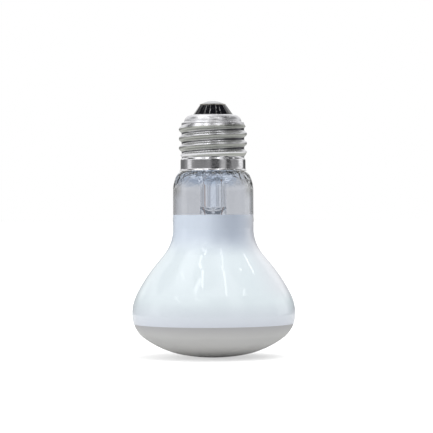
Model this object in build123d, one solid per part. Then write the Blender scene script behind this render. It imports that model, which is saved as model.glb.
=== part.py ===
from build123d import *
import os
from math import acos, asin, cos, degrees, radians, sin, tan

# Reflector basking lamp: a blown glass bulb with a white reflector lining and a
# frosted face, a glass stem that carries the filament, and a screw cap on its neck.
# Millimetres. The origin is the lowest point of the face, on the lamp's axis.
# +Z runs up the axis to the cap, and the wires in the stem lie in the XZ plane.

# Glass bulb, from the face up to the end of its neck
bulb_dia = 63.0
glass_wall = 0.8
face_dome_r = 65.0  # the shallow middle of the face
face_dome_dia = 26.0  # how wide that middle is
face_turn_r = 35.0
edge_r = 11.6  # under the widest place
shoulder_r = 17.5  # over the widest place
shoulder_turn = 26.5
flank_r = 60.0
cone_angle = 39.5
throat_r = 15.7
neck_dia = 31.1
neck_length = 14.5
neck_shoulder_r = 12.8
neck_shoulder_turn = 28.0
neck_edge_r = 2.6
waist_r = 1.5
neck_end_dia = 22.2
neck_end_length = 2.8

# Linings inside the bulb
lining = 0.15
lining_gap = 0.02  # keeps the linings just clear of the glass
reflector_bottom = 13.0  # height of its lower edge over the face
reflector_top = 55.0

# Stem: a flared tube whose lower end is pressed flat round the wires
stem_dia = 10.0
stem_wall = 1.0
flare_drop = 9.7  # from the top of the rim down to where the flare starts
flare_r = 3.0
flare_angle = 70.0
flare_rim_r = 1.5
stem_tube_length = 8.0  # straight tube, from the press blend to the flare
press_blend = 3.0
press_length = 6.0
press_width = 10.4
press_thick = 3.4
press_corner = 1.2
exhaust_dia = 4.6
exhaust_bore = 2.8
exhaust_length = 24.0
exhaust_tip = 2.2
exhaust_tip_dia = 1.6
exhaust_hole_dia = 1.6
exhaust_hole_depth = 1.5

# Wires and filament
lead_spacing = 6.4
outer_lead_dia = 0.3
seal_wire_dia = 0.5
inner_lead_dia = 0.7
lead_drop = 3.0
fuse_dia = 0.2
fuse_length = 9.0
filament_dia = 1.0
filament_ring_dia = 22.0
filament_drop = 15.5  # under the press
filament_leg = 1.4
hook_gap = 0.06
rod_dia = 2.2
rod_length = 7.0
button_dia = 4.4
support_count = 3
support_dia = 0.4
support_embed = 0.7

# Screw cap
sheet = 0.3
rim_gap = 0.3  # height of the rim over the turned-in neck
rim_width = 0.55  # how far the rim stands out from the skirt
rim_flare_r = 1.2
skirt_dia = 25.2
skirt_height = 4.0
skirt_step_r = 1.0
thread_major_dia = 26.3
thread_minor_dia = 24.1
thread_pitch = 3.629
thread_top = 18.2
thread_start = 1.7  # first full crest on the +X side, over the skirt's step
thread_root_land = 0.06
thread_side_gap = 0.12
thread_fade = 1.9
cap_step_outer_r = 0.6
cap_step_inner_r = 0.45
cap_shoulder_r = 3.0
cap_shoulder_lean = 10.5  # how far its foot leans in
cap_hole_dia = 15.8
cement_inset = 0.2
cement_height = 3.4

# Insulator and centre contact
insulator_rise = 3.7
insulator_sides = 10
insulator_turn = 10.0  # where one edge of the cone stands, to the right of the front
insulator_edge_r = 0.5
insulator_skirt = 0.9
funnel_dia = 10.6
funnel_rise = 4.2
contact_dia = 9.9
contact_thick = 0.45
contact_edge = 0.3
eyelet_dia = 3.2
eyelet_wall = 0.35
eyelet_depth = 1.8
solder_dia = 9.4
solder_rise = 1.25
solder_plug = 0.9
lead_in_solder = 0.5
lead_bend_drop = 4.0
weld_dia = 1.5
weld_rise = 2.1  # weld centre over the rim
tail_rise = 2.6  # end of the side lead over the rim
lead_slack = 0.25  # how far the side lead stands off the rim

# Worked out from the sizes above
bulb_r = bulb_dia / 2
neck_r = neck_dia / 2
neck_end_r = neck_end_dia / 2
stem_r = stem_dia / 2
skirt_r = skirt_dia / 2
rim_r = skirt_r + rim_width
major_r = thread_major_dia / 2
minor_r = thread_minor_dia / 2
core_r = minor_r + thread_root_land
thread_depth = major_r - minor_r
lead_x = lead_spacing / 2
ring_r = filament_ring_dia / 2
cap_hole_r = cap_hole_dia / 2
upright = (Align.CENTER, Align.CENTER, Align.MIN)


def polar(centre, radius, angle):
    """The point at that radius and angle, in degrees, round a centre."""
    return (
        centre[0] + radius * cos(radians(angle)),
        centre[1] + radius * sin(radians(angle)),
    )


def outline(arcs, depth, low=None, high=None):
    """A wall's profile at a depth under its outer face: arcs joined by straight runs.

    An arc is its centre, radius, first angle, last angle and side. The side is 1 where
    the wall bulges out and -1 where it curves in. With a low or a high, the profile
    runs straight down or up to that height.
    """
    edges = []
    for centre, radius, first, last, side in arcs:
        arc = CenterArc(centre, radius - side * depth, first, last - first)
        start = arc @ 0
        if edges and (edges[-1] @ 1 - start).length > 1e-6:
            edges.append(Line(edges[-1] @ 1, start))
        elif not edges and low is not None:
            edges.append(Line((start.X, low), start))
        edges.append(arc)
    if high is not None:
        end = edges[-1] @ 1
        edges.append(Line(end, (end.X, high)))
    return edges


def turned(edges):
    """The closed outline, turned round the lamp's axis."""
    return revolve(Plane.XZ * make_face(edges), Axis.Z, 360)


def wall(outer, inner):
    """What lies between two profiles that run side by side, turned."""
    ends = [Line(outer[0] @ 0, inner[0] @ 0), Line(outer[-1] @ 1, inner[-1] @ 1)]
    return turned(outer + inner + ends)


def core(edges):
    """What lies between a profile and the axis, turned."""
    foot, top = edges[0] @ 0, edges[-1] @ 1
    ends = [Line((0, foot.Y), (0, top.Y)), Line((0, top.Y), top)]
    if foot.X > 1e-6:
        ends.append(Line(foot, (0, foot.Y)))
    return turned(edges + ends)


def rod(dia, low, high, x=0):
    return Pos(x, 0, low) * Cylinder(dia / 2, high - low, align=upright)


def slab(low, high):
    """Everything between two heights."""
    return rod(2 * bulb_dia, low, high)


def wire(points, dia, bend):
    """A round wire along straight runs joined by arcs."""
    path = FilletPolyline(*points, radius=bend)
    return sweep(Plane(origin=path @ 0, z_dir=path % 0) * Circle(dia / 2), path)


# The face is three arcs that flow into each other, and the flank two more and a cone.
dome = (0, face_dome_r)
dome_angle = degrees(asin(face_dome_dia / 2 / face_dome_r)) - 90
turn = polar(dome, face_dome_r - face_turn_r, dome_angle)
edge_angle = degrees(acos((bulb_r - edge_r - turn[0]) / (face_turn_r - edge_r)))
edge = polar(turn, face_turn_r - edge_r, -edge_angle)
shoulder = (bulb_r - shoulder_r, edge[1])
flank = polar(shoulder, shoulder_r - flank_r, shoulder_turn)
cone_foot = polar(flank, flank_r, cone_angle)
cone_top_r = neck_r + throat_r * (1 - cos(radians(cone_angle)))
cone_top = cone_foot[1] + (cone_foot[0] - cone_top_r) / tan(radians(cone_angle))
throat = (neck_r + throat_r, cone_top + throat_r * sin(radians(cone_angle)))

# The neck rounds over in two arcs and narrows to a waist that the cap covers.
neck_shoulder = (neck_r - neck_shoulder_r, throat[1] + neck_length)
neck_edge = polar(neck_shoulder, neck_shoulder_r - neck_edge_r, neck_shoulder_turn)
waist_angle = degrees(
    acos((neck_end_r + waist_r - neck_edge[0]) / (neck_edge_r + waist_r))
)
waist = polar(neck_edge, neck_edge_r + waist_r, waist_angle)
waist_foot = polar(neck_edge, neck_edge_r, waist_angle)
lip_z = waist[1] + neck_end_length

bulb_arcs = [
    (dome, face_dome_r, -90, dome_angle, 1),
    (turn, face_turn_r, dome_angle, -edge_angle, 1),
    (edge, edge_r, -edge_angle, 0, 1),
    (shoulder, shoulder_r, 0, shoulder_turn, 1),
    (flank, flank_r, shoulder_turn, cone_angle, 1),
    (throat, throat_r, 180 + cone_angle, 180, -1),
    (neck_shoulder, neck_shoulder_r, 0, neck_shoulder_turn, 1),
    (neck_edge, neck_edge_r, neck_shoulder_turn, waist_angle, 1),
    (waist, waist_r, 180 + waist_angle, 180, -1),
]


def bulb_layer(depth, thickness):
    """A layer of the bulb's wall, at a depth under its outer face."""
    outer = outline(bulb_arcs, depth, high=lip_z)
    return wall(outer, outline(bulb_arcs, depth + thickness, high=lip_z))


def glass_bulb():
    return bulb_layer(0, glass_wall)


def bulb_lining():
    return bulb_layer(glass_wall + lining_gap, lining)


def reflector_coating():
    return bulb_lining() & slab(reflector_bottom, reflector_top)


def frost_coating():
    return bulb_lining() & slab(0, reflector_bottom)


# Heights along the stem, from the rim of its flare down to the press
flare_foot = lip_z - flare_drop
tube_foot = flare_foot - stem_tube_length
press_top = tube_foot - press_blend
press_foot = press_top - press_length
flare_rim = neck_end_r - glass_wall
flare = (stem_r + flare_r, flare_foot)
flare_end = polar(flare, flare_r, 180 - flare_angle)
rim_foot_r = flare_rim - flare_rim_r * (1 - cos(radians(flare_angle)))
rim_foot_z = flare_end[1] + (rim_foot_r - flare_end[0]) / tan(radians(flare_angle))
rim_turn = (flare_rim - flare_rim_r, rim_foot_z + flare_rim_r * sin(radians(flare_angle)))
flare_arcs = [
    (flare, flare_r, 180, 180 - flare_angle, -1),
    (rim_turn, flare_rim_r, -flare_angle, 0, 1),
]


def stem_tube():
    """Flare, tube and press in one piece of glass, with a pumping hole in its side."""
    glass = wall(
        outline(flare_arcs, 0, tube_foot, lip_z),
        outline(flare_arcs, stem_wall, tube_foot, lip_z),
    )
    flat = RectangleRounded(press_width, press_thick, press_corner)
    glass += loft([Pos(0, 0, press_top) * flat, Pos(0, 0, tube_foot) * Circle(stem_r)])
    glass += extrude(Pos(0, 0, press_foot) * flat, press_length)
    hole_z = tube_foot - exhaust_hole_depth
    glass -= rod(exhaust_hole_dia, hole_z, tube_foot)
    hole = Cylinder(exhaust_hole_dia / 2, stem_dia, align=upright)
    glass -= Pos(0, 0, hole_z) * Rot(90, 0, 0) * hole
    return glass - seal_wire(-1) - seal_wire(1)


def exhaust_tube():
    """The pumping tube, melted shut at its tip inside the cap."""
    tip = tube_foot + exhaust_length
    radius, bore, end_r = exhaust_dia / 2, exhaust_bore / 2, exhaust_tip_dia / 2
    outside = Polyline(
        (bore, tube_foot),
        (radius, tube_foot),
        (radius, tip - exhaust_tip - end_r),
        (end_r, tip - end_r),
    )
    nose = CenterArc((0, tip - end_r), end_r, 0, 90)
    inside = Polyline(
        (0, tip),
        (0, tip - exhaust_tip),
        (bore, tip - 2 * exhaust_tip),
        (bore, tube_foot),
    )
    return turned([outside, nose, inside])


def seal_wire(side):
    """The wire that the press is pinched on, which seals to the glass."""
    return rod(seal_wire_dia, press_foot, tube_foot, side * lead_x)


filament_z = press_foot - filament_drop
button_z = press_foot - rod_length


def hook(x, wire_dia):
    """A wire ring round the coil, in the XZ plane, and its radius."""
    radius = filament_dia / 2 + hook_gap + wire_dia / 2
    return Pos(x, 0, filament_z) * Rot(90, 0, 0) * Torus(radius, wire_dia / 2), radius


def inner_lead(side):
    """A nickel wire from the press down to its clamp on the coil's end."""
    ring, radius = hook(side * ring_r, inner_lead_dia)
    points = [
        (side * lead_x, 0, press_foot),
        (side * lead_x, 0, press_foot - lead_drop),
        (side * ring_r, 0, filament_z + 2 * lead_drop),
        (side * ring_r, 0, filament_z + radius),
    ]
    return wire(points, inner_lead_dia, inner_lead_dia) + ring


def filament():
    """The tungsten coil's outer form: a half ring with a straight leg at each end."""
    section = Plane.XZ * Pos(ring_r, filament_z) * Circle(filament_dia / 2)
    coil = revolve(section, Axis.Z, -180)
    for side in (-1, 1):
        leg = Cylinder(filament_dia / 2, filament_leg, align=upright)
        coil += Pos(side * ring_r, 0, filament_z) * Rot(-90, 0, 0) * leg
    return coil


def support_wire(index):
    """A molybdenum wire from the button to a hook that holds the coil up."""
    ring, radius = hook(ring_r, support_dia)
    points = [
        (button_dia / 2 - support_embed, 0, button_z),
        (ring_r - lead_drop, 0, button_z),
        (ring_r, 0, filament_z + radius),
    ]
    piece = wire(points, support_dia, 2 * support_dia) + ring
    return Rot(0, 0, -180 * index / (support_count + 1)) * piece


def button_rod():
    """A glass rod fused under the press, with a button that holds the supports."""
    glass = rod(rod_dia, button_z, press_foot) + Pos(0, 0, button_z) * Sphere(button_dia / 2)
    for index in range(1, support_count + 1):
        glass -= support_wire(index)
    return glass


# Heights up the cap, which stands just clear of the place where the neck turns in
cap_z = waist_foot[1] + rim_gap
rim_angle = degrees(acos(1 - rim_width / rim_flare_r))
step_angle = degrees(acos(1 - (skirt_r - core_r) / (2 * skirt_step_r)))
skirt_top = cap_z + skirt_height
core_foot = skirt_top + 2 * skirt_step_r * sin(radians(step_angle))
core_top = cap_z + thread_top
rim_flare = (skirt_r + rim_flare_r, cap_z + rim_flare_r * sin(radians(rim_angle)))
step_turn = (core_r - cap_step_outer_r, core_top)
step_foot = (step_turn[0], core_top + cap_step_outer_r + cap_step_inner_r)
cap_dome = polar(step_foot, -cap_step_inner_r - cap_shoulder_r, cap_shoulder_lean)
shoulder_foot = cap_dome[1] + cap_shoulder_r * sin(radians(cap_shoulder_lean))
shoulder_top = cap_dome[1] + cap_shoulder_r

cap_arcs = [
    (rim_flare, rim_flare_r, 180 + rim_angle, 180, -1),
    ((skirt_r - skirt_step_r, skirt_top), skirt_step_r, 0, step_angle, 1),
    ((core_r + skirt_step_r, core_foot), skirt_step_r, 180 + step_angle, 180, -1),
    (step_turn, cap_step_outer_r, 0, 90, 1),
    (step_foot, cap_step_inner_r, 270, 180 + cap_shoulder_lean, -1),
    (cap_dome, cap_shoulder_r, cap_shoulder_lean, 90, 1),
]


def knuckle(depth):
    """The thread's section: a round crest between two round roots."""
    quarter = thread_pitch / 4
    radius = ((thread_depth / 2) ** 2 + quarter**2) / thread_depth
    swing = degrees(asin(quarter / radius))
    crest_r, root_r = radius - depth, radius + depth
    trim = degrees(asin(thread_side_gap / root_r))
    root_x = minor_r + radius
    foot_r = minor_r - 2 * sheet - depth
    low = CenterArc((root_x, -2 * quarter), root_r, 180 - trim, trim - swing)
    crest = CenterArc((major_r - radius, 0), crest_r, -swing, 2 * swing)
    high = CenterArc((root_x, 2 * quarter), root_r, 180 + swing, trim - swing)
    bottom, top = low @ 0, high @ 1
    back = Polyline(top, (foot_r, top.Y), (foot_r, bottom.Y), bottom)
    return make_face([low, crest, high, back])


def thread_ridge(depth):
    """The knuckle swept up its helix, and cut back where the thread fades."""
    low = core_foot + thread_start - thread_pitch
    path = Helix(thread_pitch, core_top - low + thread_pitch, major_r)
    ridge = Pos(0, 0, low) * sweep(Plane.XZ * knuckle(depth), path, is_frenet=True)
    root_r = minor_r - depth
    clear_r = root_r + 2 * thread_depth
    envelope = Polyline(
        (root_r, core_foot),
        (clear_r, core_foot + 2 * thread_fade),
        (clear_r, core_top - 2 * thread_fade),
        (root_r, core_top),
    )
    return ridge & core([envelope])


def cap_body(depth):
    """The cap's form as a solid, at a depth under its outer face."""
    return core(outline(cap_arcs, depth)) + thread_ridge(depth)


def screw_shell():
    """Thin sheet rolled into a knuckle thread, with a flared rim and a domed end."""
    hole = rod(cap_hole_dia, shoulder_foot, shoulder_top + sheet)
    return cap_body(0) - cap_body(sheet) - hole


# Heights of the centre contact
insulator_top = shoulder_top + insulator_rise
contact_top = insulator_top + contact_thick
eyelet_r = eyelet_dia / 2
plug_foot = contact_top - solder_plug
exit_r = (waist_foot[0] + rim_r - sheet) / 2
gap_r = (neck_end_r + minor_r - sheet) / 2
tail_r = skirt_r + outer_lead_dia / 2


def insulator():
    """Black glass: a faceted cone over the shell, and a funnel bonded inside it."""
    front = insulator_turn - 90
    base = RegularPolygon(cap_hole_r, insulator_sides, rotation=front)
    top = RegularPolygon(contact_dia / 2 + contact_edge, insulator_sides, rotation=front)
    glass = loft([Pos(0, 0, shoulder_top) * base, Pos(0, 0, insulator_top) * top])
    slanted = glass.edges().filter_by(lambda line: abs((line % 0).Z) > 0.1)
    glass = fillet(slanted, insulator_edge_r)
    foot = shoulder_foot - insulator_skirt
    glass += rod(cap_hole_dia, foot, shoulder_top)
    glass += core(outline(cap_arcs, sheet)) & slab(foot, shoulder_top)
    funnel = Cone(funnel_dia / 2, eyelet_r, funnel_rise, align=upright)
    return glass - Pos(0, 0, foot) * funnel - rod(eyelet_dia, foot, insulator_top)


def centre_contact():
    """A brass plate with an eyelet that the centre lead comes up through."""
    plate = rod(contact_dia, insulator_top, contact_top)
    plate += rod(eyelet_dia, insulator_top - eyelet_depth, contact_top)
    bore = rod(eyelet_dia - 2 * eyelet_wall, insulator_top - eyelet_depth, contact_top)
    return plate - bore


def centre_solder():
    """The solder button on the plate, with its plug in the eyelet."""
    radius = ((solder_dia / 2) ** 2 + solder_rise**2) / (2 * solder_rise)
    dome = Pos(0, 0, contact_top + solder_rise - radius) * Sphere(radius)
    solder = dome & slab(contact_top, contact_top + solder_rise)
    solder += rod(eyelet_dia - 2 * eyelet_wall, plug_foot, contact_top)
    return solder - rod(outer_lead_dia, plug_foot, plug_foot + lead_in_solder)


fuse_top = tube_foot + fuse_length


def fuse_wire():
    return rod(fuse_dia, tube_foot, fuse_top, lead_x)


def centre_lead():
    """From the fuse up past the pumping tube and into the solder."""
    bend_z = insulator_top - eyelet_depth - lead_bend_drop
    points = [
        (lead_x, 0, fuse_top),
        (lead_x, 0, bend_z - lead_bend_drop),
        (0, 0, bend_z),
        (0, 0, plug_foot + lead_in_solder),
    ]
    return wire(points, outer_lead_dia, 2 * outer_lead_dia)


def side_lead():
    """Over the neck's lip, down behind the cap's wall and up outside its rim."""
    over = lip_z + 2 * lead_slack + outer_lead_dia
    stand_off = rim_r + lead_slack
    points = [
        (-lead_x, 0, tube_foot),
        (-lead_x, 0, over),
        (0, gap_r, over),
        (0, gap_r, waist[1]),
        (0, exit_r, cap_z),
        (0, stand_off, cap_z - lead_slack),
        (0, stand_off, cap_z + lead_slack),
        (0, tail_r, rim_flare[1] + 2 * lead_slack),
        (0, tail_r, cap_z + tail_rise),
    ]
    return wire(points, outer_lead_dia, 0.7 * outer_lead_dia)


def side_weld():
    """The bead that joins the side lead to the skirt, at the back of the lamp."""
    bead = Pos(0, skirt_r, cap_z + weld_rise) * Sphere(weld_dia / 2)
    return bead - rod(skirt_dia, cap_z, skirt_top) - side_lead()


def capping_cement():
    """A ring of cement between the waist of the neck and the skirt."""
    ring = core(outline(cap_arcs, sheet))
    ring &= slab(cap_z + cement_inset, cap_z + cement_height)
    return ring - core(outline(bulb_arcs, 0, high=lip_z)) - side_lead()


parts = {
    "glass_bulb": glass_bulb(),
    "reflector_coating": reflector_coating(),
    "frost_coating": frost_coating(),
    "stem_tube": stem_tube(),
    "exhaust_tube": exhaust_tube(),
    "seal_wire_left": seal_wire(-1),
    "seal_wire_right": seal_wire(1),
    "inner_lead_left": inner_lead(-1),
    "inner_lead_right": inner_lead(1),
    "filament": filament(),
    "button_rod": button_rod(),
    "screw_shell": screw_shell(),
    "insulator": insulator(),
    "centre_contact": centre_contact(),
    "centre_solder": centre_solder(),
    "fuse_wire": fuse_wire(),
    "centre_lead": centre_lead(),
    "side_lead": side_lead(),
    "side_weld": side_weld(),
    "capping_cement": capping_cement(),
}
for number in range(1, support_count + 1):
    parts[f"support_wire_{number}"] = support_wire(number)

os.makedirs("parts", exist_ok=True)
for name, solid in parts.items():
    export_step(solid, f"parts/{name}.step")
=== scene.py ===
import bpy
from math import pi, radians
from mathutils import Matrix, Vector


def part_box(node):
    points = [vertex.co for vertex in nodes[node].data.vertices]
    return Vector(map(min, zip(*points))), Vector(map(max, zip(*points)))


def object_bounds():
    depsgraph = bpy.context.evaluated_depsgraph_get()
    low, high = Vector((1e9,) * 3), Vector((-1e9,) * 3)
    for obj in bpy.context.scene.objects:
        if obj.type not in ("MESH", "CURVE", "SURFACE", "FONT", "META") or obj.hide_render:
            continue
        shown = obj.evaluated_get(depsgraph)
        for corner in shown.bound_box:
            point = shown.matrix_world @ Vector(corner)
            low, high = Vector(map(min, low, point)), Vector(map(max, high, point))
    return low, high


# A reflector basking lamp on a pale floor. Metres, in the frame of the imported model.

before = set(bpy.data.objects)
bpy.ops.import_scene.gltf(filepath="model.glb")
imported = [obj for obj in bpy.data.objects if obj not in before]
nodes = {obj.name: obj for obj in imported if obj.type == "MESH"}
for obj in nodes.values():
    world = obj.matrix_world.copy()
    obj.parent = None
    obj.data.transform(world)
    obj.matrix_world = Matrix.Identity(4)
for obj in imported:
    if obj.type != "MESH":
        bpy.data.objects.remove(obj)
cad_low, cad_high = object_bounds()
scene = bpy.context.scene

# What the scene takes from the frame
mm = 0.001
coat_low, coat_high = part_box("reflector_coating")
shell_low, shell_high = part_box("screw_shell")

# Heights at which the look changes
edge_blur = 0.05 * mm
violet_top = coat_low.z + 9 * mm  # of the lining's violet lower band, which is painted shade
neck_low, neck_high = 38 * mm, 48 * mm  # where the flank turns into the neck
seal_low, seal_high = 64.5 * mm, 71 * mm  # of the ripples left by sealing the neck
skirt_top = shell_low.z + 5.4 * mm
thread_top = shell_high.z - 3.7 * mm

# The shell's thread
thread_pitch = 3.629 * mm
crest_height = 78.908 * mm  # of a crest on the +X side

# Places round the lamp, to the right of the front
insulator_sides = 10
insulator_turn = radians(10)  # of one edge of the insulator
shaded_side = radians(25)  # where the painted shade on the neck's lining is darkest


# Node helpers


class Shader:
    """A material's or the world's node tree, with one short call for each kind of node."""

    def __init__(self, owner):
        self.owner = owner
        owner.use_nodes = True
        self.tree = owner.node_tree
        self.tree.nodes.clear()

    @classmethod
    def material(cls, name):
        shader = cls(bpy.data.materials.new(name))
        shader.position = shader.add("ShaderNodeNewGeometry").outputs["Position"]
        return shader

    def add(self, kind, **settings):
        node = self.tree.nodes.new(kind)
        for key, value in settings.items():
            setattr(node, key, value)
        return node

    def link(self, source, target):
        if hasattr(source, "is_output"):
            self.tree.links.new(source, target)
        else:
            target.default_value = source

    # Numbers and vectors

    def math(self, operation, first, second=0.0, third=0.0):
        node = self.add("ShaderNodeMath", operation=operation)
        for socket, value in zip(node.inputs, (first, second, third)):
            self.link(value, socket)
        return node.outputs[0]

    def plus(self, first, *others):
        for other in others:
            first = self.math("ADD", first, other)
        return first

    def minus(self, first, second):
        return self.math("SUBTRACT", first, second)

    def times(self, first, *others):
        for other in others:
            first = self.math("MULTIPLY", first, other)
        return first

    def remap(self, value, low, high, to_low, to_high, curve="LINEAR"):
        node = self.add("ShaderNodeMapRange", clamp=True, interpolation_type=curve)
        for socket, number in zip(node.inputs, (value, low, high, to_low, to_high)):
            self.link(number, socket)
        return node.outputs[0]

    def fade(self, value, start, end, curve="LINEAR"):
        """From 0 to 1 while the value goes from start to end."""
        return self.remap(value, start, end, 0.0, 1.0, curve)

    def spread(self, noise, low, high):
        """From low to high over the range in which most of a noise lies."""
        return self.remap(noise, 0.3, 0.7, low, high)

    def band(self, value, middle, half_width, blur):
        """1 where the value is near the middle, and 0 elsewhere."""
        gap = self.math("ABSOLUTE", self.minus(value, middle))
        return self.remap(gap, half_width - blur, half_width + blur, 1.0, 0.0)

    def between(self, factor, first, second):
        """The first number where the factor is 0, and the second where it is 1."""
        return self.plus(first, self.times(factor, self.minus(second, first)))

    def vector(self, operation, first, second=(0.0, 0.0, 0.0)):
        node = self.add("ShaderNodeVectorMath", operation=operation)
        self.link(first, node.inputs[0])
        self.link(second, node.inputs[1])
        return node.outputs["Value" if operation in ("DOT_PRODUCT", "LENGTH") else "Vector"]

    def combine(self, x, y, z=0.0):
        node = self.add("ShaderNodeCombineXYZ")
        for socket, value in zip(node.inputs, (x, y, z)):
            self.link(value, socket)
        return node.outputs[0]

    def axes(self, vector=None):
        """The three coordinates of a vector, or else of the shaded point."""
        node = self.add("ShaderNodeSeparateXYZ")
        self.link(vector or self.position, node.inputs[0])
        return node.outputs

    def azimuth(self, x, y):
        """The angle round the lamp's axis, to the right of the front."""
        return self.math("ARCTAN2", x, self.times(y, -1.0))

    # Textures

    def scaled(self, x, y, z):
        """The shaded point with each coordinate scaled, to stretch a texture."""
        return self.vector("MULTIPLY", self.position, (x, y, z))

    def around(self, radius):
        """The shaded point at one distance from the lamp's axis, for rolled streaks."""
        x, y, z = self.axes()
        angle = self.math("ARCTAN2", y, x)
        cosine, sine = self.math("COSINE", angle), self.math("SINE", angle)
        return self.combine(self.times(cosine, radius), self.times(sine, radius), z)

    def noise(self, vector, scale, detail=3.0, roughness=0.5):
        node = self.add("ShaderNodeTexNoise")
        self.link(vector, node.inputs["Vector"])
        node.inputs["Scale"].default_value = scale
        node.inputs["Detail"].default_value = detail
        node.inputs["Roughness"].default_value = roughness
        return node.outputs["Fac"]

    def mix(self, factor, first, second):
        """The first colour where the factor is 0, and the second where it is 1."""
        node = self.add("ShaderNodeMix", data_type="RGBA")
        self.link(factor, node.inputs[0])
        for socket, value in ((node.inputs[6], first), (node.inputs[7], second)):
            self.link(value if hasattr(value, "is_output") else (*value, 1.0), socket)
        return node.outputs[2]

    def bump(self, height, strength, distance):
        node = self.add("ShaderNodeBump")
        node.inputs["Strength"].default_value = strength
        node.inputs["Distance"].default_value = distance
        self.link(height, node.inputs["Height"])
        return node.outputs[0]

    # Surfaces

    def principled(self, **values):
        node = self.add("ShaderNodeBsdfPrincipled")
        for key, value in values.items():
            name = key.replace("_", " ")
            if name.endswith("Color") and not hasattr(value, "is_output"):
                value = (*value, 1.0)
            self.link(value, node.inputs[name])
        return node.outputs[0]

    def lets_light_in(self, shader):
        """Lets light through a glass to what is inside it."""
        clear = self.add("ShaderNodeBsdfTransparent")
        clear.inputs["Color"].default_value = (0.95, 0.955, 0.96, 1.0)
        path = self.add("ShaderNodeLightPath").outputs
        node = self.add("ShaderNodeMixShader")
        self.link(self.math("MAXIMUM", path["Is Shadow Ray"], path["Is Diffuse Ray"]), node.inputs[0])
        self.link(shader, node.inputs[1])
        self.link(clear.outputs[0], node.inputs[2])
        return node.outputs[0]

    def surface(self, shader):
        output = self.add("ShaderNodeOutputMaterial")
        self.link(shader, output.inputs["Surface"])
        return self.owner


# Glass and its linings


def stem_glass():
    """Drawn glass tube and rod, with ripples that break up what is seen through it."""
    s = Shader.material("stem_glass")
    cloud = s.noise(s.position, 90.0, 2.0)
    ripple = s.noise(s.scaled(1, 1, 0.5), 260.0, 2.0)
    glass = s.principled(
        Base_Color=s.mix(cloud, (0.975, 0.985, 0.998), (0.99, 0.995, 1.0)),
        Transmission_Weight=1.0,
        Roughness=0.0,
        IOR=1.32,
        # Painted light: a faint bluish glow, for light scattered in the glass
        Emission_Color=(0.75, 0.85, 1.0),
        Emission_Strength=0.035,
        Normal=s.bump(ripple, 1.0, 0.01 * mm),
    )
    return s.surface(s.lets_light_in(glass))


def lining_colour(s, cloud):
    """The white lining, with painted shade: violet and darker low down, bluer up the neck, greyer on
    the right, and darkest in a patch on the neck's right side.
    """
    x, y, z = s.axes()
    azimuth = s.azimuth(x, y)
    before_back = s.remap(azimuth, radians(95), radians(170), 1.0, 0.0, "SMOOTHSTEP")
    white = s.mix(cloud, (0.83, 0.92, 0.965), (0.86, 0.94, 0.98))
    # Painted shade: violet and darker low down
    violet = s.mix(cloud, (0.76, 0.80, 0.89), (0.79, 0.83, 0.91))
    white = s.mix(s.fade(z, coat_low.z, violet_top), violet, white)
    # Painted shade: greyer on the right side, above the violet band
    right = s.fade(azimuth, radians(30), radians(75), "SMOOTHSTEP")
    right = s.times(right, before_back, s.fade(z, violet_top, violet_top + 5 * mm))
    white = s.mix(right, white, (0.89, 0.915, 0.965))
    # Painted shade: bluer and darker up the neck, greyer to its right
    up_neck = s.fade(z, neck_low, neck_high, "SMOOTHSTEP")
    white = s.mix(up_neck, white, s.mix(right, (0.77, 0.85, 0.965), (0.85, 0.86, 0.90)))
    # Painted shade: a dark patch on the right of the neck
    painted_shade = s.remap(azimuth, shaded_side - radians(45), shaded_side, 0.0, 0.8, "SMOOTHSTEP")
    painted_shade = s.times(painted_shade, s.remap(azimuth, shaded_side + radians(10), pi / 2, 1.0, 0.2))
    painted_shade = s.times(painted_shade, before_back, s.spread(cloud, 0.85, 1.0), up_neck)
    return s.mix(painted_shade, white, (0.42, 0.47, 0.565))


def frost_colour(s, cloud):
    """The grey frosting: palest at the middle of the face, which is painted light against the shadow
    by the floor, and darkest at its upper edge.
    """
    z = s.axes()[2]
    pale = s.mix(cloud, (0.92, 0.91, 0.89), (0.95, 0.94, 0.92))
    grey = s.mix(cloud, (0.66, 0.66, 0.65), (0.70, 0.70, 0.69))
    dark = s.mix(cloud, (0.48, 0.48, 0.49), (0.51, 0.51, 0.52))
    # Painted light: paler low on the face, near the floor
    grey = s.mix(s.fade(z, 3 * mm, 8 * mm), pale, grey)
    return s.mix(s.fade(z, coat_low.z - 4 * mm, coat_low.z), grey, dark)


def clear_colour(s, cloud):
    """The clear neck, with painted shade: darker up its sides, and bluish under the shell's rim."""
    x, y, z = s.axes()
    clear = s.mix(cloud, (0.71, 0.725, 0.76), (0.735, 0.745, 0.77))
    # Painted shade: darker near the neck's left and right sides
    side = s.fade(s.math("ABSOLUTE", x), 12 * mm, 13.5 * mm)
    side = s.times(side, s.fade(z, seal_low - 3.5 * mm, seal_low))
    clear = s.mix(side, clear, (0.60, 0.605, 0.61))
    # Painted shade and reflection: bluish under the shell's rim, greyer to the right
    shade = s.mix(s.fade(x, 8 * mm, 11 * mm), (0.51, 0.57, 0.66), (0.54, 0.55, 0.56))
    shaded = s.fade(z, seal_low + 1 * mm, seal_low + 4 * mm)
    return s.mix(s.times(shaded, s.remap(cloud, 0.4, 0.6, 0.4, 1.0)), clear, shade)


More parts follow.
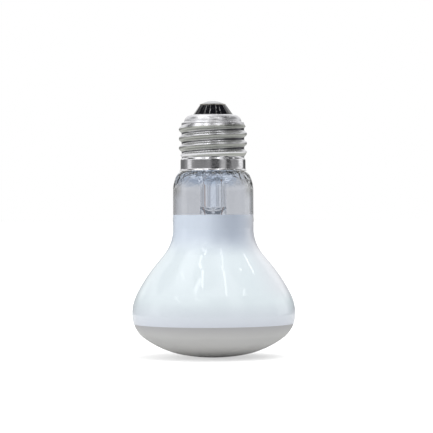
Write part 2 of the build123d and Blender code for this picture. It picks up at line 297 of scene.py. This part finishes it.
def blown_glass():
    """The bulb: clear at the neck, and elsewhere opaque glass in its lining's colours."""
    s = Shader.material("blown_glass")
    z = s.axes()[2]
    cloud = s.noise(s.position, 60.0, 4.0)
    grain = s.noise(s.position, 2500.0, 2.0)
    ripple = s.noise(s.scaled(1, 1, 0.35), 180.0, 2.0)
    seal = s.noise(s.scaled(1, 1, 1.2), 380.0, 1.5)
    seal = s.times(seal, s.remap(z, seal_low, seal_high, 0.0, 95.0, "SMOOTHSTEP"))
    over_frost = s.fade(z, coat_low.z - edge_blur, coat_low.z + edge_blur)
    over_coat = s.fade(z, coat_high.z - edge_blur, coat_high.z + edge_blur)
    etch = s.times(grain, s.minus(1.0, over_frost))
    lined = s.mix(over_frost, frost_colour(s, cloud), lining_colour(s, cloud))
    glass = s.principled(
        Base_Color=s.mix(over_coat, lined, clear_colour(s, cloud)),
        Transmission_Weight=over_coat,
        Roughness=s.remap(over_frost, 0.0, 1.0, 0.6, 0.0),
        IOR=1.5,
        Normal=s.bump(s.plus(ripple, seal, etch), 0.25, 0.05 * mm),
    )
    return s.surface(s.lets_light_in(glass))


def white_coating():
    s = Shader.material("white_coating")
    cloud = s.noise(s.position, 60.0, 4.0)
    colour = s.mix(cloud, (0.78, 0.83, 0.885), (0.83, 0.875, 0.915))
    return s.surface(
        s.principled(
            Base_Color=colour,
            Roughness=s.spread(cloud, 0.5, 0.62),
            # Painted light: the lining glows faintly, for light scattered in it
            Emission_Color=colour,
            Emission_Strength=0.35,
        )
    )


def frosting():
    s = Shader.material("frosting")
    grain = s.noise(s.position, 2500.0, 2.0)
    cloud = s.noise(s.position, 45.0, 3.0)
    return s.surface(
        s.principled(
            Base_Color=s.mix(cloud, (0.44, 0.435, 0.42), (0.50, 0.495, 0.48)),
            Roughness=s.spread(grain, 0.55, 0.75),
            Normal=s.bump(grain, 0.2, 0.04 * mm),
        )
    )


# The cap


def shell_metal():
    """Rolled aluminium: a bright upper flank on each turn of the thread, a painted greenish
    reflection over the crest and lower flank, and painted shade in the grooves."""
    s = Shader.material("shell_metal")
    x, y, z = s.axes()

    # The shell's parts, and the phase of its thread: 0 on a crest, a half in a groove
    over_skirt = s.fade(z, skirt_top - 0.2 * mm, skirt_top + 0.2 * mm)
    skirt = s.minus(1.0, over_skirt)
    under_top = s.remap(z, thread_top - 0.3 * mm, thread_top + 0.3 * mm, 1.0, 0.0)
    shoulder = s.minus(1.0, under_top)
    thread = s.times(over_skirt, under_top)
    turns = s.math("DIVIDE", s.math("ARCTAN2", y, x), 2 * pi)
    climb = s.math("DIVIDE", s.minus(z, crest_height), thread_pitch)
    phase = s.math("WRAP", s.minus(climb, turns), 0.5, -0.5)

    streak = s.noise(s.around(4 * mm), 2600.0, 5.0, 0.65)
    stain = s.noise(s.around(12 * mm), 140.0, 4.0)
    fleck = s.noise(s.position, 900.0, 3.0)
    dent = s.noise(s.scaled(1, 1, 0.6), 330.0, 2.0)
    along_thread = s.combine(s.times(x, 60.0), s.times(y, 60.0), s.times(phase, 9.0))
    rolled = s.noise(along_thread, 1.0, 4.0, 0.6)

    # The painted reflection band lies a little below the crest; the painted groove shade is wider to
    # the right
    uneven = s.times(s.minus(stain, 0.5), 0.16)
    from_band = s.math("ABSOLUTE", s.plus(phase, 0.19, uneven))
    painted_reflection_band = s.times(s.remap(from_band, 0.18, 0.25, 1.0, 0.0), thread)
    wider = s.remap(x, 0.0, 12 * mm, 0.0, 0.10)
    from_crest = s.plus(s.math("ABSOLUTE", phase), wider, uneven)
    painted_groove_shade = s.times(s.remap(from_crest, 0.42, 0.49, 0.0, 0.92), thread)
    bright = s.mix(stain, (0.82, 0.82, 0.86), (0.95, 0.95, 0.96))
    dull = s.mix(s.spread(rolled, 0.0, 1.0), (0.33, 0.34, 0.31), (0.62, 0.63, 0.59))
    # Painted greenish reflection on the band, and painted dark shade in the grooves
    colour = s.mix(painted_groove_shade, s.mix(painted_reflection_band, bright, dull), (0.06, 0.06, 0.07))

    rough = s.remap(s.plus(streak, stain), 0.7, 1.35, 0.22, 0.36)
    rough = s.plus(rough, s.times(painted_reflection_band, 0.1), s.times(skirt, -0.13), s.times(shoulder, 0.03))
    lines = s.times(streak, s.remap(thread, 0.0, 1.0, 0.25, 1.0))
    lines = s.times(lines, s.remap(under_top, 0.0, 1.0, 0.4, 1.0))
    dents = s.times(dent, s.remap(x, 0.0, 8 * mm, 0.5, 6.0))
    dents = s.times(dents, s.remap(skirt, 0.0, 1.0, 0.1, 1.0))
    height = s.plus(lines, dents, s.times(fleck, 0.3))
    return s.surface(
        s.principled(
            Base_Color=colour,
            Metallic=1.0,
            Roughness=rough,
            Normal=s.bump(height, 0.35, 0.06 * mm),
        )
    )


def black_glass():
    """Opaque glass, pressed in a mould: each flat bulges a little."""
    s = Shader.material("black_glass")
    x, y, z = s.axes()
    cloud = s.noise(s.position, 350.0, 3.0)
    wave = s.noise(s.scaled(1, 1, 0.5), 500.0, 2.0)
    off_middle = s.minus(s.azimuth(x, y), insulator_turn + pi / insulator_sides)
    bulge = s.math("COSINE", s.times(off_middle, insulator_sides))
    return s.surface(
        s.principled(
            Base_Color=s.mix(cloud, (0.002, 0.002, 0.004), (0.007, 0.007, 0.010)),
            Roughness=s.remap(cloud, 0.35, 0.75, 0.02, 0.07),
            Specular_IOR_Level=0.9,
            Normal=s.bump(s.plus(bulge, s.times(wave, 1.5)), 1.0, 0.07 * mm),
        )
    )


def metal(name, dark, light, scale, smoothest, roughest):
    s = Shader.material(name)
    cloud = s.noise(s.position, scale, 4.0)
    return s.surface(
        s.principled(
            Base_Color=s.mix(cloud, dark, light),
            Metallic=1.0,
            Roughness=s.spread(cloud, smoothest, roughest),
            Normal=s.bump(cloud, 0.5, 0.1 * mm),
        )
    )


def cement():
    s = Shader.material("cement")
    grain = s.noise(s.position, 1500.0, 5.0)
    return s.surface(
        s.principled(
            Base_Color=s.mix(grain, (0.42, 0.37, 0.29), (0.58, 0.53, 0.44)),
            Roughness=0.9,
            Normal=s.bump(grain, 0.6, 0.1 * mm),
        )
    )


def paint(material, *names):
    for name in names:
        slots = nodes[name].data.materials
        slots.clear()
        slots.append(material)


paint(blown_glass(), "glass_bulb")
paint(stem_glass(), "stem_tube", "exhaust_tube", "button_rod")
paint(white_coating(), "reflector_coating")
paint(frosting(), "frost_coating")
paint(shell_metal(), "screw_shell")
paint(black_glass(), "insulator")
solder = metal("solder", (0.38, 0.385, 0.395), (0.84, 0.85, 0.87), 700.0, 0.15, 0.35)
paint(solder, "centre_solder", "side_weld")
brass = metal("brass", (0.42, 0.40, 0.36), (0.60, 0.57, 0.51), 700.0, 0.25, 0.5)
paint(brass, "centre_contact")
copper = metal("copper", (0.45, 0.22, 0.13), (0.72, 0.42, 0.28), 900.0, 0.2, 0.45)
paint(copper, "seal_wire_left", "seal_wire_right", "centre_lead", "side_lead")
nickel = metal("nickel", (0.34, 0.33, 0.31), (0.55, 0.53, 0.50), 900.0, 0.2, 0.4)
paint(nickel, "inner_lead_left", "inner_lead_right", "fuse_wire")
tungsten = metal("tungsten", (0.12, 0.12, 0.13), (0.26, 0.26, 0.28), 900.0, 0.3, 0.5)
paint(tungsten, "filament", "support_wire_1", "support_wire_2", "support_wire_3")
paint(cement(), "capping_cement")


# Floor, backdrop and light


def studio_white():
    """A diffuse floor that the camera and reflections see as white, with its shadows."""
    s = Shader.material("floor_white")
    diffuse = s.add("ShaderNodeBsdfDiffuse")
    grain = s.noise(s.position, 30.0, 2.0)
    away = s.vector("LENGTH", s.position)
    glow = s.remap(away, 0.05, 0.5, near_glow, far_glow)
    path = s.add("ShaderNodeLightPath").outputs
    past_table = s.times(path["Is Glossy Ray"], s.fade(away, *table_edge))
    white = s.mix(grain, (0.80, 0.80, 0.80), (0.82, 0.82, 0.82))
    s.link(s.mix(past_table, white, (0.2, 0.2, 0.2)), diffuse.inputs["Color"])
    seen = s.math("MAXIMUM", path["Is Camera Ray"], path["Is Transmission Ray"])
    seen = s.math("MAXIMUM", seen, s.times(path["Is Glossy Ray"], 0.1))
    emission = s.add("ShaderNodeEmission")
    s.link(s.times(seen, glow), emission.inputs["Strength"])
    both = s.add("ShaderNodeAddShader")
    s.link(diffuse.outputs[0], both.inputs[0])
    s.link(emission.outputs[0], both.inputs[1])
    return s.surface(both.outputs[0])


def floor():
    bpy.ops.mesh.primitive_plane_add(size=200.0, location=(0, 0, cad_low.z))
    plane = bpy.context.object
    plane.name = "floor"
    plane.data.materials.append(studio_white())


def near_line(s, point, start, end, half_width, blur):
    """1 where a point in plan is near the line between two others, and 0 elsewhere."""
    start, end = Vector((*start, 0.0)), Vector((*end, 0.0))
    run = end - start
    away = s.vector("SUBTRACT", point, tuple(start))
    along = s.vector("DOT_PRODUCT", away, tuple(run / run.length_squared))
    along = s.math("MINIMUM", s.math("MAXIMUM", along, 0.0), 1.0)
    nearest = s.add("ShaderNodeVectorMath", operation="SCALE")
    nearest.inputs[0].default_value = run
    s.link(along, nearest.inputs["Scale"])
    gap = s.vector("LENGTH", s.vector("SUBTRACT", away, nearest.outputs[0]))
    return s.remap(gap, half_width - blur, half_width + blur, 1.0, 0.0)


def studio():
    """White behind the lamp, soft light from all round, and a room to reflect."""
    s = Shader(bpy.data.worlds.new("studio"))
    scene.world = s.owner
    x, y, z = s.axes(s.add("ShaderNodeTexCoord").outputs["Generated"])
    azimuth = s.azimuth(x, y)
    height = s.math("ARCSINE", z)
    room = s.remap(height, wall_top, ceiling_edge, wall_grey, ceiling_grey)
    for value, middle, half_width, level, half_height, blur in wall_cards:
        across = s.band(azimuth, radians(middle), radians(half_width), radians(blur))
        up = s.band(height, radians(level), radians(half_height), radians(blur))
        room = s.between(s.times(across, up), room, value)
    over = s.math("MAXIMUM", z, lowest_z)
    above = s.math("GREATER_THAN", z, lowest_z)
    plan = s.combine(s.math("DIVIDE", x, over), s.math("DIVIDE", y, over))
    for value, start, end, half_width, blur in ceiling_tubes:
        tube = s.times(near_line(s, plan, start, end, half_width, blur), above)
        room = s.between(tube, room, value)
    slant = s.times(x, s.minus(s.times(x, both_sides), side_light))
    soft = s.plus(soft_light, slant)
    path = s.add("ShaderNodeLightPath").outputs
    reflected = s.math("MAXIMUM", path["Is Glossy Ray"], path["Is Transmission Ray"])
    strength = s.between(reflected, soft, room)
    through_glass = s.times(path["Is Transmission Ray"], 0.5)
    white = s.math("MAXIMUM", path["Is Camera Ray"], through_glass)
    background = s.add("ShaderNodeBackground")
    background.inputs["Color"].default_value = (1.0, 1.0, 1.0, 1.0)
    s.link(s.between(white, strength, 1.0), background.inputs["Strength"])
    output = s.add("ShaderNodeOutputWorld")
    s.link(background.outputs[0], output.inputs["Surface"])


def overhead_lamp():
    """A broad lamp over the right of the front, which gloss doesn't show."""
    side = 1.4
    lit_point = Vector((0.0, 0.0, 0.04))
    data = bpy.data.lights.new("overhead", "AREA")
    data.shape = "RECTANGLE"
    data.size = data.size_y = side
    data.energy = 9.8
    obj = bpy.data.objects.new("overhead", data)
    scene.collection.objects.link(obj)
    obj.location = (0.35, -0.25, 1.25)
    obj.rotation_euler = (lit_point - obj.location).to_track_quat("-Z", "Y").to_euler()
    obj.visible_glossy = False


# How brightly the floor glows near the lamp and far off, and where gloss sees it end
near_glow, far_glow = 0.55, 0.8
table_edge = (0.3, 0.8)

# Soft light from all round, a little more of it from the left
soft_light = 0.505
side_light = 0.36
both_sides = 0.5

# What gloss reflects: grey walls under a pale ceiling, with cards on the walls
# (brightness, azimuth to the right of the camera's side, half its width, height over the
# horizon, half that, blur; in degrees), and tubes and patches on the ceiling (brightness,
# two ends in plan at unit height, half width, blur)
wall_grey = 0.26
wall_top = radians(16)
ceiling_grey = 0.82
ceiling_edge = radians(28)
lowest_z = 0.05  # of a direction to the ceiling
wall_cards = [
    (0.04, 8, 15, 12, 32, 4),
    (0.50, 36, 9, 0, 18, 4),
    (0.05, 55, 9, 14, 34, 3),
    (0.95, 116, 15, 0, 22, 4),
    (0.05, 145, 12, 0, 20, 5),
    (0.20, -45, 22, 0, 16, 5),
    (0.90, -92, 10, 0, 20, 3),
    (0.16, -140, 20, 0, 20, 6),
    (0.18, 98, 42, 50, 25, 8),
    (1.00, 180, 13, 0, 60, 3),
    (1.00, -180, 13, 0, 60, 3),
    (0.85, 150, 16, 20, 9, 4),
    (0.85, -150, 16, 20, 9, 4),
]
ceiling_tubes = [
    (1.40, (-0.60, -0.10), (-0.38, 0.30), 0.33, 0.10),
    (0.35, (0.28, 0.12), (0.46, 0.32), 0.27, 0.08),
    (0.03, (-0.24, -0.35), (-0.15, -0.40), 0.26, 0.08),
    (0.03, (0.60, -0.10), (0.80, 0.00), 0.26, 0.06),
    (0.05, (-1.00, 0.40), (-1.20, 0.50), 0.35, 0.10),
    (4.20, (-0.238, -0.28), (-0.275, -0.58), 0.026, 0.010),
    (3.20, (-0.320, -0.44), (-0.460, -0.60), 0.050, 0.025),
    (4.00, (0.220, -0.29), (0.340, -0.72), 0.024, 0.010),
    (3.40, (-0.310, -0.15), (-0.270, -0.21), 0.022, 0.010),
    (3.20, (0.210, -0.19), (0.190, -0.26), 0.020, 0.010),
    (4.20, (0.777, 0.33), (0.900, 0.24), 0.035, 0.012),
    (3.00, (-1.170, -0.48), (-1.360, -0.95), 0.055, 0.020),
    (3.00, (-0.560, -0.92), (-0.430, -1.26), 0.045, 0.020),
    (2.60, (-0.690, -0.18), (-0.710, 0.01), 0.028, 0.012),
    (4.00, (0.570, -0.06), (0.610, -0.04), 0.020, 0.010),
    (3.00, (0.780, -0.39), (0.840, -0.62), 0.030, 0.015),
]
floor()
studio()
overhead_lamp()


# Camera: level, as far away as the photograph's straight rims ask


def camera():
    """The photograph's view: level, 0.386 mm a pixel at the lamp, and a slight lean."""
    pixel = 0.3862 * mm
    photo_width = 433
    distance = 0.775
    axis_left_of_middle = 3.2 * pixel
    face_below_middle = 140.6 * pixel
    lean = radians(0.3)
    data = bpy.data.cameras.new("camera")
    data.sensor_width = 36.0
    data.lens = data.sensor_width * distance / (photo_width * pixel)
    data.clip_start = 0.01
    data.clip_end = 20.0
    obj = bpy.data.objects.new("camera", data)
    scene.collection.objects.link(obj)
    obj.location = (axis_left_of_middle, -distance, face_below_middle)
    obj.rotation_euler = (pi / 2, lean, 0.0)
    scene.camera = obj


camera()
scene.view_settings.view_transform = "Standard"
